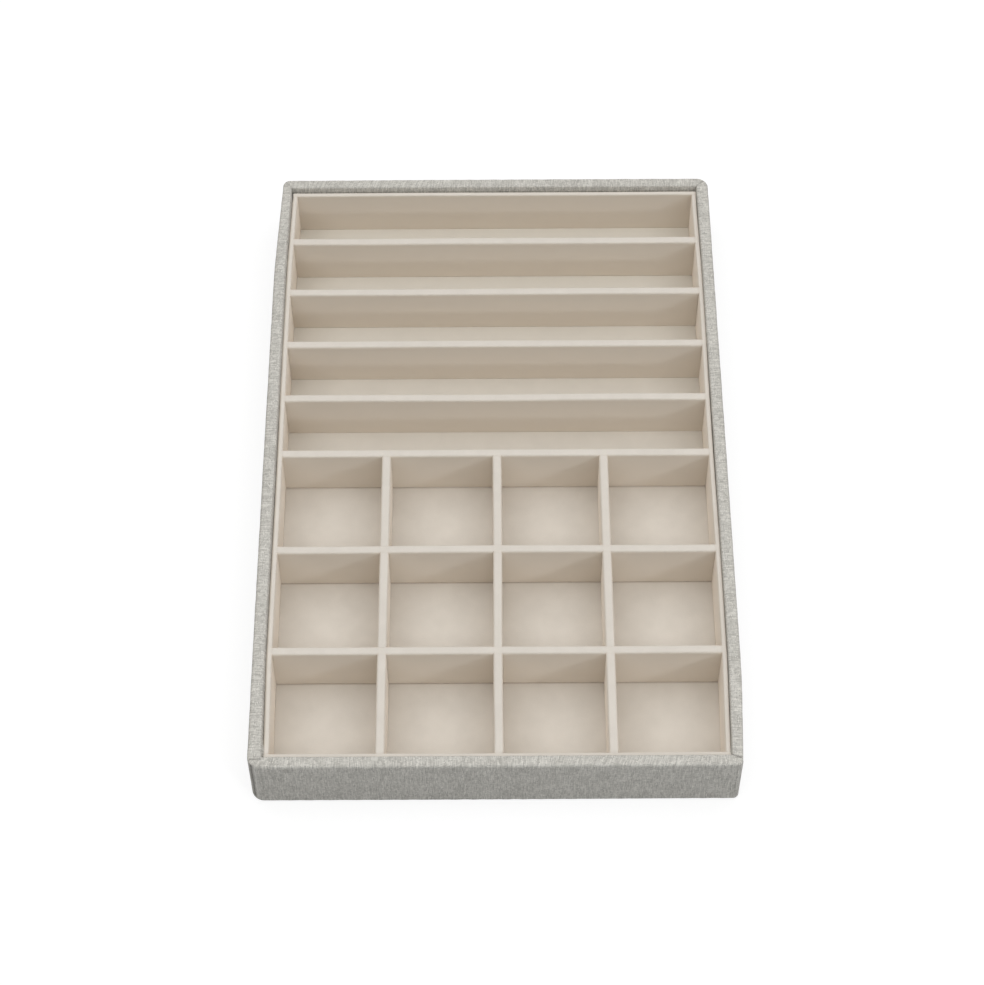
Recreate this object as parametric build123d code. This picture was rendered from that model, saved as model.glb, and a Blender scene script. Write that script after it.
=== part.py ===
from build123d import *
import math
import os

# Open jewelry tray: a cloth-covered case with a loose divided insert.
# X runs along the short sides, Y towards the long slots at the back, Z up.
# The origin is the middle of the underside.

# case, over its cloth
case_width = 250.0
case_length = 388.6
case_height = 35.5
corner_radius = 4.2  # back left corner
loose_corner_radius = 6.4  # back right corner, where the cloth is looser
seam_corner_radius = 6.5  # front left corner, where the cloth's ends meet
tight_corner_radius = 2.8  # front right corner, where the cloth is pulled hard
front_pinch = 2.3  # the right side comes in by this much at the front corner
front_pinch_run = 52.0  # and starts to come in this far from it
back_pinch = 2.5  # the same for the left side at the back corner
back_pinch_run = 65.0
pinch_radius = 500.0
rim_outer_radius = 1.5
rim_inner_radius = 1.1
foot_radius = 0.9

# case boards and cloth
wall_board = 5.2
base_board = 1.4
linen = 0.55
turn_in = 16.0  # linen folded under the base
cover_felt = 0.6
cover_clearance = 0.4  # felt cover inside the turned-in linen

# open seam of the linen at the front left corner
seam_width = 1.2
seam_turn = 45.0  # degrees round the corner from the front face
seam_margin = 3.4  # linen left whole above and below the seam

# insert, over its cloth
insert_clearance = 0.55  # to the linen, at each side when centred
insert_end_clearance = 0.95  # the same at front and back
insert_shift_x = 0.3  # it lies a little off centre
insert_shift_y = -0.73
insert_drop = 2.5  # its top below the rim
front_left_draw = 1.0  # its long walls come in by this much at each corner
front_right_draw = 1.4
back_left_draw = 1.2
back_right_draw = 0.5
draw_run = 56.0  # and start to come in this far from its ends
velvet = 0.5
floor_card = 0.8
wall_card = 1.65
divider_card = 3.8
wall_top_radius = 0.9
divider_top_radius = 1.2

# compartments
slot_count = 5
slot_length = 32.65  # along Y
back_slot_length = 31.85
cell_rows = 3
cell_columns = 4
column_offsets = (-0.1, 0.65, -0.6)  # the columns stand a little unevenly

overrun = 5.0  # by which a cutting block passes what it cuts

# heights above the table
linen_foot = cover_felt - linen
base_low = cover_felt
base_high = base_low + base_board
floor_card_high = base_high + floor_card
floor_high = floor_card_high + velvet
insert_high = case_height - insert_drop
lap_height = (floor_high + insert_high) / 2

# plan sizes
rim = wall_board + 2 * linen
cavity_width = case_width - 2 * rim
cavity_length = case_length - 2 * rim
insert_width = cavity_width - 2 * insert_clearance
insert_length = cavity_length - 2 * insert_end_clearance
insert_wall = wall_card + 2 * velvet
divider = divider_card + 2 * velvet
inner_width = insert_width - 2 * insert_wall
inner_length = insert_length - 2 * insert_wall
row_divider_count = slot_count + cell_rows - 1
slots_length = back_slot_length + (slot_count - 1) * slot_length
cell_length = (inner_length - slots_length - row_divider_count * divider) / cell_rows
cell_width = (inner_width - (cell_columns - 1) * divider) / cell_columns

bottom = (Align.CENTER, Align.CENTER, Align.MIN)


def save(shape, node):
    export_step(shape, f"parts/{node}.step")


def block(width, length, low, high, x=0.0, y=0.0):
    """Upright box between two heights, centred on x and y."""
    return Pos(x, y, low) * Box(width, length, high - low, align=bottom)


def slanted_side(end, bend):
    """Unit normal, out of the case, of the side that runs from a pinched corner to its bend."""
    run = math.hypot(bend[0] - end[0], bend[1] - end[1])
    return (bend[1] - end[1]) / run, (end[0] - bend[0]) / run


def rounded_plan(inset):
    """Outline of the case, set in from its cloth, with two pinched corners, one of them tighter."""
    right = case_width / 2 - inset
    back = case_length / 2 - inset
    corners = {}
    for name, pinch, run in (("front", front_pinch, front_pinch_run), ("back", back_pinch, back_pinch_run)):
        end = (case_width / 2 - pinch, -case_length / 2)
        bend = (case_width / 2, -case_length / 2 + run)
        out_x, out_y = slanted_side(end, bend)
        reach = end[0] * out_x + end[1] * out_y - inset
        corners[name] = ((reach + back * out_y) / out_x, (reach - right * out_x) / out_y)
    front_corner, front_bend = corners["front"]
    back_corner, back_bend = corners["back"]
    points = [
        (-right, -back),
        (front_corner, -back),
        (right, front_bend),
        (right, back),
        (-back_corner, back),
        (-right, -back_bend),
    ]
    plan = make_face(Polyline(points, close=True))
    radii = [seam_corner_radius, tight_corner_radius, pinch_radius, loose_corner_radius, corner_radius, pinch_radius]
    for point, radius in zip(points, radii):
        corner = plan.vertices().sort_by_distance((point[0], point[1], 0))[0]
        plan = fillet(corner, radius - inset)
    return plan


def case_shell(inset, low, high, cavity_inset):
    """Case with a closed bottom: outside and rim rounded, cavity above the base board."""
    body = Pos(0, 0, low) * extrude(rounded_plan(inset), amount=high - low)
    body = fillet(body.faces().sort_by(Axis.Z)[-1].edges(), rim_outer_radius - inset)
    body = fillet(body.faces().sort_by(Axis.Z)[0].edges(), foot_radius - inset)
    width = case_width - 2 * cavity_inset
    length = case_length - 2 * cavity_inset
    body -= block(width, length, base_high, high + overrun)
    rim_face = body.faces().filter_by(Axis.Z).sort_by(Axis.Z)[-1]
    return fillet(rim_face.inner_wires()[0].edges(), rim_inner_radius - inset)


def case_boards():
    """Base board between the walls, and front and back boards between the side boards."""
    shell = case_shell(linen, base_low, case_height - linen, rim - linen)
    board_width = cavity_width + 2 * linen
    board_length = cavity_length + 2 * linen
    reach = case_height + overrun
    base = block(board_width, board_length, 0, base_high)
    middle = block(board_width, case_length, 0, reach)
    front_half = block(case_width, case_length / 2, 0, reach, y=-case_length / 4)
    left_half = block(case_width / 2, case_length, 0, reach, x=-case_width / 4)
    ends = shell & middle
    ends -= base
    sides = shell - middle
    return {
        "base_board": shell & base,
        "front_board": ends & front_half,
        "back_board": ends - front_half,
        "left_board": sides & left_half,
        "right_board": sides - left_half,
    }


def seam_cut():
    """Narrow upright slit through the linen on the front left corner."""
    turn = math.radians(seam_turn)
    x = -case_width / 2 + seam_corner_radius - (seam_corner_radius - linen / 2) * math.sin(turn)
    y = -case_length / 2 + seam_corner_radius - (seam_corner_radius - linen / 2) * math.cos(turn)
    height = case_height - 2 * seam_margin
    slit = Box(seam_width, linen, height, align=bottom)
    return Pos(x, y, seam_margin) * Rot(0, 0, -seam_turn) * slit


def linen_wrap():
    """Cloth over the outside, the rim and the inside of the walls, turned in under the base."""
    cloth = case_shell(0, linen_foot, case_height, rim)
    cloth -= case_shell(linen, base_low, case_height - linen, rim - linen)
    opening_width = case_width - 2 * turn_in
    opening_length = case_length - 2 * turn_in
    cloth -= block(opening_width, opening_length, 0, base_low)
    return cloth - seam_cut()


def underside_cover():
    width = case_width - 2 * (turn_in + cover_clearance)
    length = case_length - 2 * (turn_in + cover_clearance)
    return block(width, length, 0, base_low)


def ridge(length, thickness, low, high, top_radius):
    """Upright slab along X with its two long top edges rounded."""
    slab = block(length, thickness, low, high)
    top_edges = slab.faces().sort_by(Axis.Z)[-1].edges().filter_by(Axis.X)
    return fillet(top_edges, top_radius)


def covered_slab(length, card, low, top_radius):
    """Card core and the velvet sleeve folded over it, along X about the origin."""
    core = ridge(length, card, low, insert_high - velvet, top_radius - velvet)
    sleeve = ridge(length, card + 2 * velvet, low, insert_high, top_radius)
    return core, sleeve - core


def drawn_plan(width, length):
    """Outline of the insert, or of a size that lies in it, with its long sides drawn in at the corners."""
    bend = insert_length / 2 - draw_run
    share = (length / 2 - bend) / draw_run
    points = [
        (-width / 2 + front_left_draw * share, -length / 2),
        (width / 2 - front_right_draw * share, -length / 2),
        (width / 2, -bend),
        (width / 2, bend),
        (width / 2 - back_right_draw * share, length / 2),
        (-width / 2 + back_left_draw * share, length / 2),
        (-width / 2, bend),
        (-width / 2, -bend),
    ]
    plan = make_face(Polyline(points, close=True))
    bends = plan.vertices().filter_by_position(Axis.Y, -bend, bend)
    return fillet(bends, pinch_radius)


def drawn_block(width, length, low, high):
    """Upright solid on the drawn-in outline, between two heights."""
    return Pos(0, 0, low) * extrude(drawn_plan(width, length), amount=high - low)


def side_wall(side, cover, high, top_radius):
    """Long wall of the insert, thinner by a cover on each face, with its two long top edges rounded."""
    outer = drawn_block(insert_width - 2 * cover, insert_length, floor_card_high, high)
    inner = drawn_block(insert_width - 2 * (insert_wall - cover), insert_length, floor_card_high, high)
    half = block(insert_width / 2, inner_length, floor_card_high, high, x=side * insert_width / 4)
    wall = (outer & half) - inner
    top_edges = wall.faces().sort_by(Axis.Z)[-1].edges().filter_by(Axis.X, reverse=True)
    return fillet(top_edges, top_radius)


def insert_rim():
    """Four covered walls on the floor card, the side walls between the other two."""
    pieces = {}
    place = (insert_length - insert_wall) / 2
    outline = drawn_block(insert_width, insert_length, floor_card_high, insert_high)
    for name, y in (("front", -place), ("back", place)):
        core, sleeve = covered_slab(insert_width, wall_card, floor_card_high, wall_top_radius)
        pieces[f"insert_{name}_wall"] = Pos(0, y, 0) * core & outline
        pieces[f"insert_{name}_wall_velvet"] = Pos(0, y, 0) * sleeve & outline
    for name, side in (("left", -1), ("right", 1)):
        core = side_wall(side, velvet, insert_high - velvet, wall_top_radius - velvet)
        cover = side_wall(side, 0, insert_high, wall_top_radius)
        pieces[f"insert_{name}_wall"] = core
        pieces[f"insert_{name}_wall_velvet"] = cover - core
    return pieces


def row_places():
    """Y of each full-width divider, from the back: after every slot, then after every cell row."""
    lengths = [back_slot_length] + [slot_length] * (slot_count - 1) + [cell_length] * (cell_rows - 1)
    places = []
    edge = inner_length / 2
    for length in lengths:
        edge -= length
        places.append(edge - divider / 2)
        edge -= divider
    return places


def column_places():
    """X of each divider that runs front to back, from the left."""
    pitch = cell_width + divider
    first = -inner_width / 2 + pitch - divider / 2
    return [first + column * pitch + offset for column, offset in enumerate(column_offsets)]


def dividers():
    """Full-width dividers, and the cell dividers that are half-lapped under them."""
    rows = row_places()
    columns = column_places()
    crossed = rows[slot_count:]
    inside = drawn_block(inner_width, inner_length, floor_high, insert_high)
    pieces = {}
    for number, y in enumerate(rows, start=1):
        core, sleeve = covered_slab(inner_width, divider_card, floor_high, divider_top_radius)
        if y in crossed:
            for x in columns:
                notch = block(divider, divider, floor_high, lap_height, x=x)
                core -= notch
                sleeve -= notch
        pieces[f"row_divider_{number}"] = Pos(0, y, 0) * core & inside
        pieces[f"row_divider_{number}_velvet"] = Pos(0, y, 0) * sleeve & inside
    far_end = rows[slot_count - 1] - divider / 2
    near_end = -inner_length / 2
    middle = (far_end + near_end) / 2
    for number, x in enumerate(columns, start=1):
        core, sleeve = covered_slab(far_end - near_end, divider_card, floor_high, divider_top_radius)
        for y in crossed:
            notch = block(divider, divider, lap_height, insert_high, x=y - middle)
            core -= notch
            sleeve -= notch
        place = Pos(x, middle, 0) * Rot(0, 0, 90)
        pieces[f"column_divider_{number}"] = place * core
        pieces[f"column_divider_{number}_velvet"] = place * sleeve
    return pieces


def insert_pieces():
    """Everything in the insert, shifted to where it lies in the case."""
    pieces = {
        "insert_floor_board": drawn_block(insert_width, insert_length, base_high, floor_card_high),
        "floor_lining": drawn_block(inner_width, inner_length, floor_card_high, floor_high),
    }
    pieces.update(insert_rim())
    pieces.update(dividers())
    place = Pos(insert_shift_x, insert_shift_y, 0)
    return {node: place * shape for node, shape in pieces.items()}


os.makedirs("parts", exist_ok=True)
tray = case_boards()
tray["linen_wrap"] = linen_wrap()
tray["underside_cover"] = underside_cover()
tray.update(insert_pieces())
for node, shape in tray.items():
    save(shape, node)

print("nodes", len(tray))
print("slot", slot_length, "x", round(inner_width, 3), "mm")
print("cell", round(cell_length, 3), "x", round(cell_width, 3), "mm")
print("depth of a compartment", round(insert_high - floor_high, 3), "mm")
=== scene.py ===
import math

import bmesh
import bpy
import numpy as np
from mathutils import Matrix, Vector


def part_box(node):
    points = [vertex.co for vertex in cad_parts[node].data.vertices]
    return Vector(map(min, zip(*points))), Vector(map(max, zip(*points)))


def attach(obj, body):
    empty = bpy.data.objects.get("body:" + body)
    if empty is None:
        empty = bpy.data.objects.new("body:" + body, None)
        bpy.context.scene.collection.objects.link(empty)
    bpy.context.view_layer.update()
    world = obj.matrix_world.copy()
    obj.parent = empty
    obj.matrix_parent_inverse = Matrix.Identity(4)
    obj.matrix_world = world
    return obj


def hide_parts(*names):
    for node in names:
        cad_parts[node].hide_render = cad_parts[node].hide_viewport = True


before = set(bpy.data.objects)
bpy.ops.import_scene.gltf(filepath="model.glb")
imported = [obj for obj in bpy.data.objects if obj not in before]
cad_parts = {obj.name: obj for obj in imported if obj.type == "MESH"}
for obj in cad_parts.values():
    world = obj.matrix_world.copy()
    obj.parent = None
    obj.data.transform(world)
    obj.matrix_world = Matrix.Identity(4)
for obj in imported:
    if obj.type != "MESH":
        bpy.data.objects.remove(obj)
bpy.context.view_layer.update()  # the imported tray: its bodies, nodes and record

mm = 0.001  # lengths below are written in millimetres and scaled by this
weld = 0.002 * mm  # points nearer than this are one point
print("frame loaded,", len(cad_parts), "nodes")


# ripples: the sum of a few sine waves in random directions, about one wavelength long,
# scaled so that the sum swings about one unit
def ripples(x, y, wavelength, seed, waves=8):
    draw = np.random.default_rng(seed)
    turn = draw.uniform(0, 2 * np.pi, waves)
    shift = draw.uniform(0, 2 * np.pi, waves)
    stretch = draw.uniform(0.7, 1.4, waves)  # of each wave's length
    total = np.zeros(np.broadcast(x, y).shape)
    for angle, phase, scale in zip(turn, shift, stretch):
        along = x * np.cos(angle) + y * np.sin(angle)
        total += np.sin(2 * np.pi * along * scale / wavelength + phase)
    return total / math.sqrt(waves)


# spacing between two ends: fine steps that grow from each end, as far as they stay short of the middle, then
# even steps of the given size
def gradedSteps(start, end, step, fine=(0.0, 0.12, 0.3, 0.6, 1.1, 1.9)):
    length = end - start
    nearMiddle = length / 2.2
    close = [f * mm for f in fine if f * mm < nearMiddle]
    count = max(2, int(round((length - 2 * close[-1]) / step)) + 1)
    middle = np.linspace(start + close[-1], end - close[-1], count)
    return np.concatenate([start + np.array(close[:-1]), middle, end - np.array(close[:-1])[::-1]])


# graded steps through a list of break places, each place once
def stepsThrough(breaks, step):
    parts = [gradedSteps(a, b, step)[:-1] for a, b in zip(breaks[:-1], breaks[1:])]
    return np.concatenate(parts + [[breaks[-1]]])


# a crease: one at a joint and falling to zero as the square of the distance left in its width
def creaseShare(distance, width):
    return np.clip(1 - np.abs(distance) / width, 0, 1) ** 2


# one mesh from several grids of points: each grid cell is a face, and faces marked as cut are left out
def meshFromGrids(name, grids, material, thickness=0.0):
    points, faces, uvs, creases, uprights, start = [], [], [], [], [], 0
    for grid in grids:
        rows, columns = grid["points"].shape[:2]
        index = np.arange(rows * columns).reshape(rows, columns) + start
        cells = np.stack([index[:-1, :-1], index[1:, :-1], index[1:, 1:], index[:-1, 1:]], -1)
        if grid.get("flip"):
            cells = cells[..., ::-1]
        keep = grid.get("keep", np.ones((rows - 1, columns - 1), bool))
        points.append(grid["points"].reshape(-1, 3))
        uvs.append(grid["uv"].reshape(-1, 2))
        creases.append(grid["crease"].reshape(-1))
        uprights.append(np.broadcast_to(grid.get("upright", 0.0), (rows, columns)).reshape(-1))
        faces.append(cells[keep])
        start += rows * columns
    points, faces = np.concatenate(points), np.concatenate(faces)
    mesh = bpy.data.meshes.new(name)
    mesh.from_pydata(points.tolist(), [], faces.tolist())
    layer = mesh.uv_layers.new(name="cloth")
    layer.data.foreach_set("uv", np.concatenate(uvs)[faces.ravel()].ravel())
    for title, values in (("crease", creases), ("upright", uprights)):
        mesh.attributes.new(title, "FLOAT", "POINT").data.foreach_set("value", np.concatenate(values))
    work = bmesh.new()
    work.from_mesh(mesh)
    bmesh.ops.remove_doubles(work, verts=work.verts, dist=weld)
    bmesh.ops.dissolve_degenerate(work, edges=work.edges, dist=weld)
    loose = [vertex for vertex in work.verts if not vertex.link_faces]
    bmesh.ops.delete(work, geom=loose, context="VERTS")
    work.to_mesh(mesh)
    work.free()
    mesh.polygons.foreach_set("use_smooth", np.ones(len(mesh.polygons), bool))
    mesh.materials.append(material)
    piece = bpy.data.objects.new(name, mesh)
    bpy.context.collection.objects.link(piece)
    if thickness:
        wall = piece.modifiers.new("thickness", "SOLIDIFY")
        wall.thickness = thickness
        wall.offset = -1
        wall.use_rim = True
    return piece


# node helpers: a number is set on the socket, and a socket is linked to it
def feed(tree, socket, value):
    if isinstance(value, bpy.types.NodeSocket):
        tree.links.new(value, socket)
    else:
        socket.default_value = value


def mathStep(tree, operation, first, second=0.0, third=0.0, clamp=False):
    node = tree.nodes.new("ShaderNodeMath")
    node.operation = operation
    node.use_clamp = clamp
    for socket, value in zip(node.inputs, (first, second, third)):
        feed(tree, socket, value)
    return node.outputs[0]


def noiseStep(tree, vector, scale, detail=2.0, roughness=0.5):
    node = tree.nodes.new("ShaderNodeTexNoise")
    feed(tree, node.inputs["Vector"], vector)
    node.inputs["Scale"].default_value = scale
    node.inputs["Detail"].default_value = detail
    node.inputs["Roughness"].default_value = roughness
    return node.outputs["Fac"]


def combineStep(tree, x, y, z):
    node = tree.nodes.new("ShaderNodeCombineXYZ")
    for socket, value in zip(node.inputs, (x, y, z)):
        feed(tree, socket, value)
    return node.outputs[0]


def colourMix(tree, share, first, second):
    node = tree.nodes.new("ShaderNodeMix")
    node.data_type = "RGBA"
    feed(tree, node.inputs["Factor"], share)
    feed(tree, node.inputs[6], first)
    feed(tree, node.inputs[7], second)
    return node.outputs[2]


# a value carried from one range to another, and held at the ends
def rescale(tree, value, low, high, newLow, newHigh):
    node = tree.nodes.new("ShaderNodeMapRange")
    for socket, number in zip(node.inputs, (value, low, high, newLow, newHigh)):
        feed(tree, socket, number)
    return node.outputs[0]


def newGroup(name, inputs, outputs):
    group = bpy.data.node_groups.new(name, "ShaderNodeTree")
    for title, value in inputs:
        socket = group.interface.new_socket(title, in_out="INPUT", socket_type="NodeSocketFloat")
        socket.default_value = value
    for title in outputs:
        group.interface.new_socket(title, in_out="OUTPUT", socket_type="NodeSocketFloat")
    return group, group.nodes.new("NodeGroupInput").outputs, group.nodes.new("NodeGroupOutput").inputs


def useGroup(tree, group, **values):
    node = tree.nodes.new("ShaderNodeGroup")
    node.node_tree = group
    for title, value in values.items():
        feed(tree, node.inputs[title], value)
    return node.outputs


# the linear colour of three display values from 0 to 255
def linearColour(red, green, blue):
    shares = [c / 255 for c in (red, green, blue)]
    return [s / 12.92 if s <= 0.04045 else ((s + 0.055) / 1.055) ** 2.4 for s in shares] + [1.0]


yarnFloats = {
    "driftScale": 90.0,
    "drift": 3.0,  # yarns that a yarn wanders by
    "startSpread": 7.0,  # floats that a yarn's first one is shifted by
    "slubSpread": 0.71,  # how unlike the slow change of neighbouring yarns is
    "slubRange": (0.3, 0.7),
}


# floats, the short stretches of yarn that lie on top of a weave: a yarn's number is the whole part of its
# place over the pitch, a float's number that of its place along the yarn with a random start, its tone its
# own random value mixed with slow noise along the yarn, and its height the product of two half sines
def makeFloats():
    s = yarnFloats
    group, given, made = newGroup(
        "floats",
        [("Across", 0.0), ("Along", 0.0), ("Pitch", 0.5 * mm), ("Length", 1.0 * mm), ("Slub", 8 * mm),
         ("SlubShare", 0.3), ("Seed", 0.0)],
        ["Tone", "Height"],
    )
    where = combineStep(group, given["Across"], given["Along"], given["Seed"])
    drift = noiseStep(group, where, s["driftScale"])
    place = mathStep(group, "DIVIDE", given["Across"], given["Pitch"])
    place = mathStep(group, "MULTIPLY_ADD", drift, s["drift"], place)
    number = mathStep(group, "FLOOR", place)
    inside = mathStep(group, "SUBTRACT", place, number)
    start = group.nodes.new("ShaderNodeTexWhiteNoise")
    start.noise_dimensions = "1D"
    feed(group, start.inputs["W"], mathStep(group, "ADD", number, given["Seed"]))
    run = mathStep(group, "DIVIDE", given["Along"], given["Length"])
    run = mathStep(group, "MULTIPLY_ADD", start.outputs["Value"], s["startSpread"], run)
    count = mathStep(group, "FLOOR", run)
    beside = mathStep(group, "SUBTRACT", run, count)
    own = group.nodes.new("ShaderNodeTexWhiteNoise")
    own.noise_dimensions = "3D"
    feed(group, own.inputs["Vector"], combineStep(group, number, count, given["Seed"]))
    along = mathStep(group, "DIVIDE", given["Along"], given["Slub"])
    across = mathStep(group, "MULTIPLY", number, s["slubSpread"])
    slubs = noiseStep(group, combineStep(group, across, along, given["Seed"]), 1.0)
    slubs = rescale(group, slubs, *s["slubRange"], 0.0, 1.0)
    apart = mathStep(group, "SUBTRACT", slubs, own.outputs["Value"])
    tone = mathStep(group, "MULTIPLY_ADD", apart, given["SlubShare"], own.outputs["Value"])
    feed(group, made["Tone"], tone)
    rises = [mathStep(group, "SINE", mathStep(group, "MULTIPLY", part, math.pi)) for part in (inside, beside)]
    feed(group, made["Height"], mathStep(group, "MULTIPLY", *rises))
    return group


fibreNoise = {
    "fineDetail": 2.0,
    "mottleDetail": 3.0,
    "fineRange": (0.25, 0.75),
    "mottleRange": (0.3, 0.7),
    "mottleHeight": 0.5,
}


# short fibres: fine noise and a slower mottle, both from Object coordinates, with a height for the bump
def makeFibres():
    s = fibreNoise
    group, given, made = newGroup(
        "fibres",
        [("Fine", 2500.0), ("Mottle", 90.0)],
        ["Grain", "Patch", "Height"],
    )
    place = group.nodes.new("ShaderNodeTexCoord").outputs["Object"]
    fine = group.nodes.new("ShaderNodeTexNoise")
    slow = group.nodes.new("ShaderNodeTexNoise")
    for node, scale, detail in (
        (fine, given["Fine"], s["fineDetail"]),
        (slow, given["Mottle"], s["mottleDetail"]),
    ):
        feed(group, node.inputs["Vector"], place)
        feed(group, node.inputs["Scale"], scale)
        node.inputs["Detail"].default_value = detail
    feed(group, made["Grain"], rescale(group, fine.outputs["Fac"], *s["fineRange"], 0.0, 1.0))
    feed(group, made["Patch"], rescale(group, slow.outputs["Fac"], *s["mottleRange"], 0.0, 1.0))
    height = mathStep(group, "MULTIPLY_ADD", slow.outputs["Fac"], s["mottleHeight"], fine.outputs["Fac"])
    feed(group, made["Height"], height)
    return group


floats = makeFloats()
fibres = makeFibres()


# a new material, its nodes and its Principled shader
def newMaterial(name):
    material = bpy.data.materials.new(name)
    material.use_nodes = True
    tree = material.node_tree
    return material, tree, tree.nodes["Principled BSDF"]


def bumpInto(tree, shader, height, distance, strength):
    bump = tree.nodes.new("ShaderNodeBump")
    bump.inputs["Strength"].default_value = strength
    bump.inputs["Distance"].default_value = distance
    feed(tree, bump.inputs["Height"], height)
    feed(tree, shader.inputs["Normal"], bump.outputs["Normal"])


def attributeStep(tree, title):
    node = tree.nodes.new("ShaderNodeAttribute")
    node.attribute_name = title
    return node.outputs["Fac"]


# linen-look cloth: floats of two families of yarns on the cloth's own map, the one that lies higher on top
linenCloth = {
    "light": (219, 216, 208),
    "dark": (161, 158, 151),
    "yarnPitch": 0.46,  # mm
    "uprightFloat": 3.4,  # mm along the yarns that stand upright on the walls
    "levelFloat": 1.5,
    "uprightLift": 1.5,  # how much higher the upright yarns lie than the level ones
    "uprightSlub": 0.5,  # share of the slow change along a yarn in its tone
    "levelSlub": 0.3,
    "slub": 11.0,  # mm
    "uprightSeed": 3.0,
    "levelSeed": 41.0,
    "cloud": 0.16,  # share of slow unevenness in the tone
    "cloudNoise": (120.0, 3.0, 0.6),  # scale, detail and roughness
    "toneRange": (0.1, 0.9),
    "bump": 0.10,  # mm
    "bumpStrength": 0.6,
    "roughness": (0.92, 0.78),  # of the dark yarns and the light ones
    "specular": 0.25,
    "sheen": 0.08,
    "sheenRoughness": 0.5,
    "seamPaintedShade": 0.75,  # painted shade: how much a seam or fold is darkened
    "seamShadeColour": (60, 57, 52),
    "edgePaintedHighlight": 0.4,  # painted highlight: how much the raised edge of the cloth beside the seam is lightened
    "edgeHighlightColour": (245, 243, 237),
}


# the cloth's tone is that of the upright yarn or the level one, whichever lies higher, plus the slow cloud
def makeLinen():
    s = linenCloth
    material, tree, shader = newMaterial("greyLinen")
    split = tree.nodes.new("ShaderNodeSeparateXYZ")
    clothMap = tree.nodes.new("ShaderNodeUVMap")
    clothMap.uv_map = "cloth"
    feed(tree, split.inputs[0], clothMap.outputs["UV"])
    u, v = split.outputs[0], split.outputs[1]
    yarns = []
    for family, across, along in (("upright", u, v), ("level", v, u)):
        yarns.append(useGroup(
            tree, floats, Across=across, Along=along, Length=s[family + "Float"] * mm,
            Seed=s[family + "Seed"], SlubShare=s[family + "Slub"],
            Pitch=s["yarnPitch"] * mm, Slub=s["slub"] * mm,
        ))
    upright, level = yarns
    lifted = mathStep(tree, "MULTIPLY", upright["Height"], s["uprightLift"])
    onTop = mathStep(tree, "GREATER_THAN", lifted, level["Height"])
    tone = mathStep(tree, "SUBTRACT", upright["Tone"], level["Tone"])
    tone = mathStep(tree, "MULTIPLY_ADD", tone, onTop, level["Tone"])
    cloud = noiseStep(tree, clothMap.outputs["UV"], *s["cloudNoise"])
    tone = mathStep(tree, "MULTIPLY_ADD", mathStep(tree, "SUBTRACT", cloud, 0.5), s["cloud"] * 2, tone)
    height = mathStep(tree, "MAXIMUM", upright["Height"], level["Height"])
    share = rescale(tree, tone, *s["toneRange"], 0.0, 1.0)
    colour = colourMix(tree, share, linearColour(*s["dark"]), linearColour(*s["light"]))
    crease = attributeStep(tree, "crease")
    # painted shade: the crease attribute darkens the seam and the folds towards the seam colour
    shade = mathStep(tree, "MULTIPLY", crease, s["seamPaintedShade"], clamp=True)
    # painted highlight: a negative crease lightens the raised edge beside the seam
    edge = mathStep(tree, "MULTIPLY", crease, -s["edgePaintedHighlight"], clamp=True)
    colour = colourMix(tree, edge, colour, linearColour(*s["edgeHighlightColour"]))
    feed(tree, shader.inputs["Base Color"], colourMix(tree, shade, colour, linearColour(*s["seamShadeColour"])))
    feed(tree, shader.inputs["Roughness"], rescale(tree, tone, 0.0, 1.0, *s["roughness"]))
    shader.inputs["Specular IOR Level"].default_value = s["specular"]
    shader.inputs["Sheen Weight"].default_value = s["sheen"]
    shader.inputs["Sheen Roughness"].default_value = s["sheenRoughness"]
    bumpInto(tree, shader, height, s["bump"] * mm, s["bumpStrength"])
    return material


# short-pile velvet: nearly one colour, with nap patches, a fine pile and a soft sheen
velvetCloth = {
    "light": (220, 213, 203),
    "dark": (211, 204, 194),
    "upright": (219, 209, 195),  # painted shade: a warmer, darker tone on upright faces, for the warm shade between the walls
    # painted shade at creases: crossings, slab ends, wall feet and beside dividers
    "creasePaintedShade": 0.5,
    "creaseShadeColour": (150, 130, 110),
    "paintedLightColour": (229, 225, 214),  # painted light on the slot floors, marked by a negative crease
    "pileScale": 2200.0,
    "napScale": 110.0,
    "pileShare": 0.45,
    "napShare": 0.55,
    "uprightShadeRange": (1.0, 0.8),
    "roughness": (0.97, 0.88),
    "specular": 0.15,
    "sheen": 0.8,
    "sheenRoughness": 0.5,
    "sheenTint": (240, 230, 218),
    "bump": 0.05,  # mm
    "bumpStrength": 0.35,
}


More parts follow.
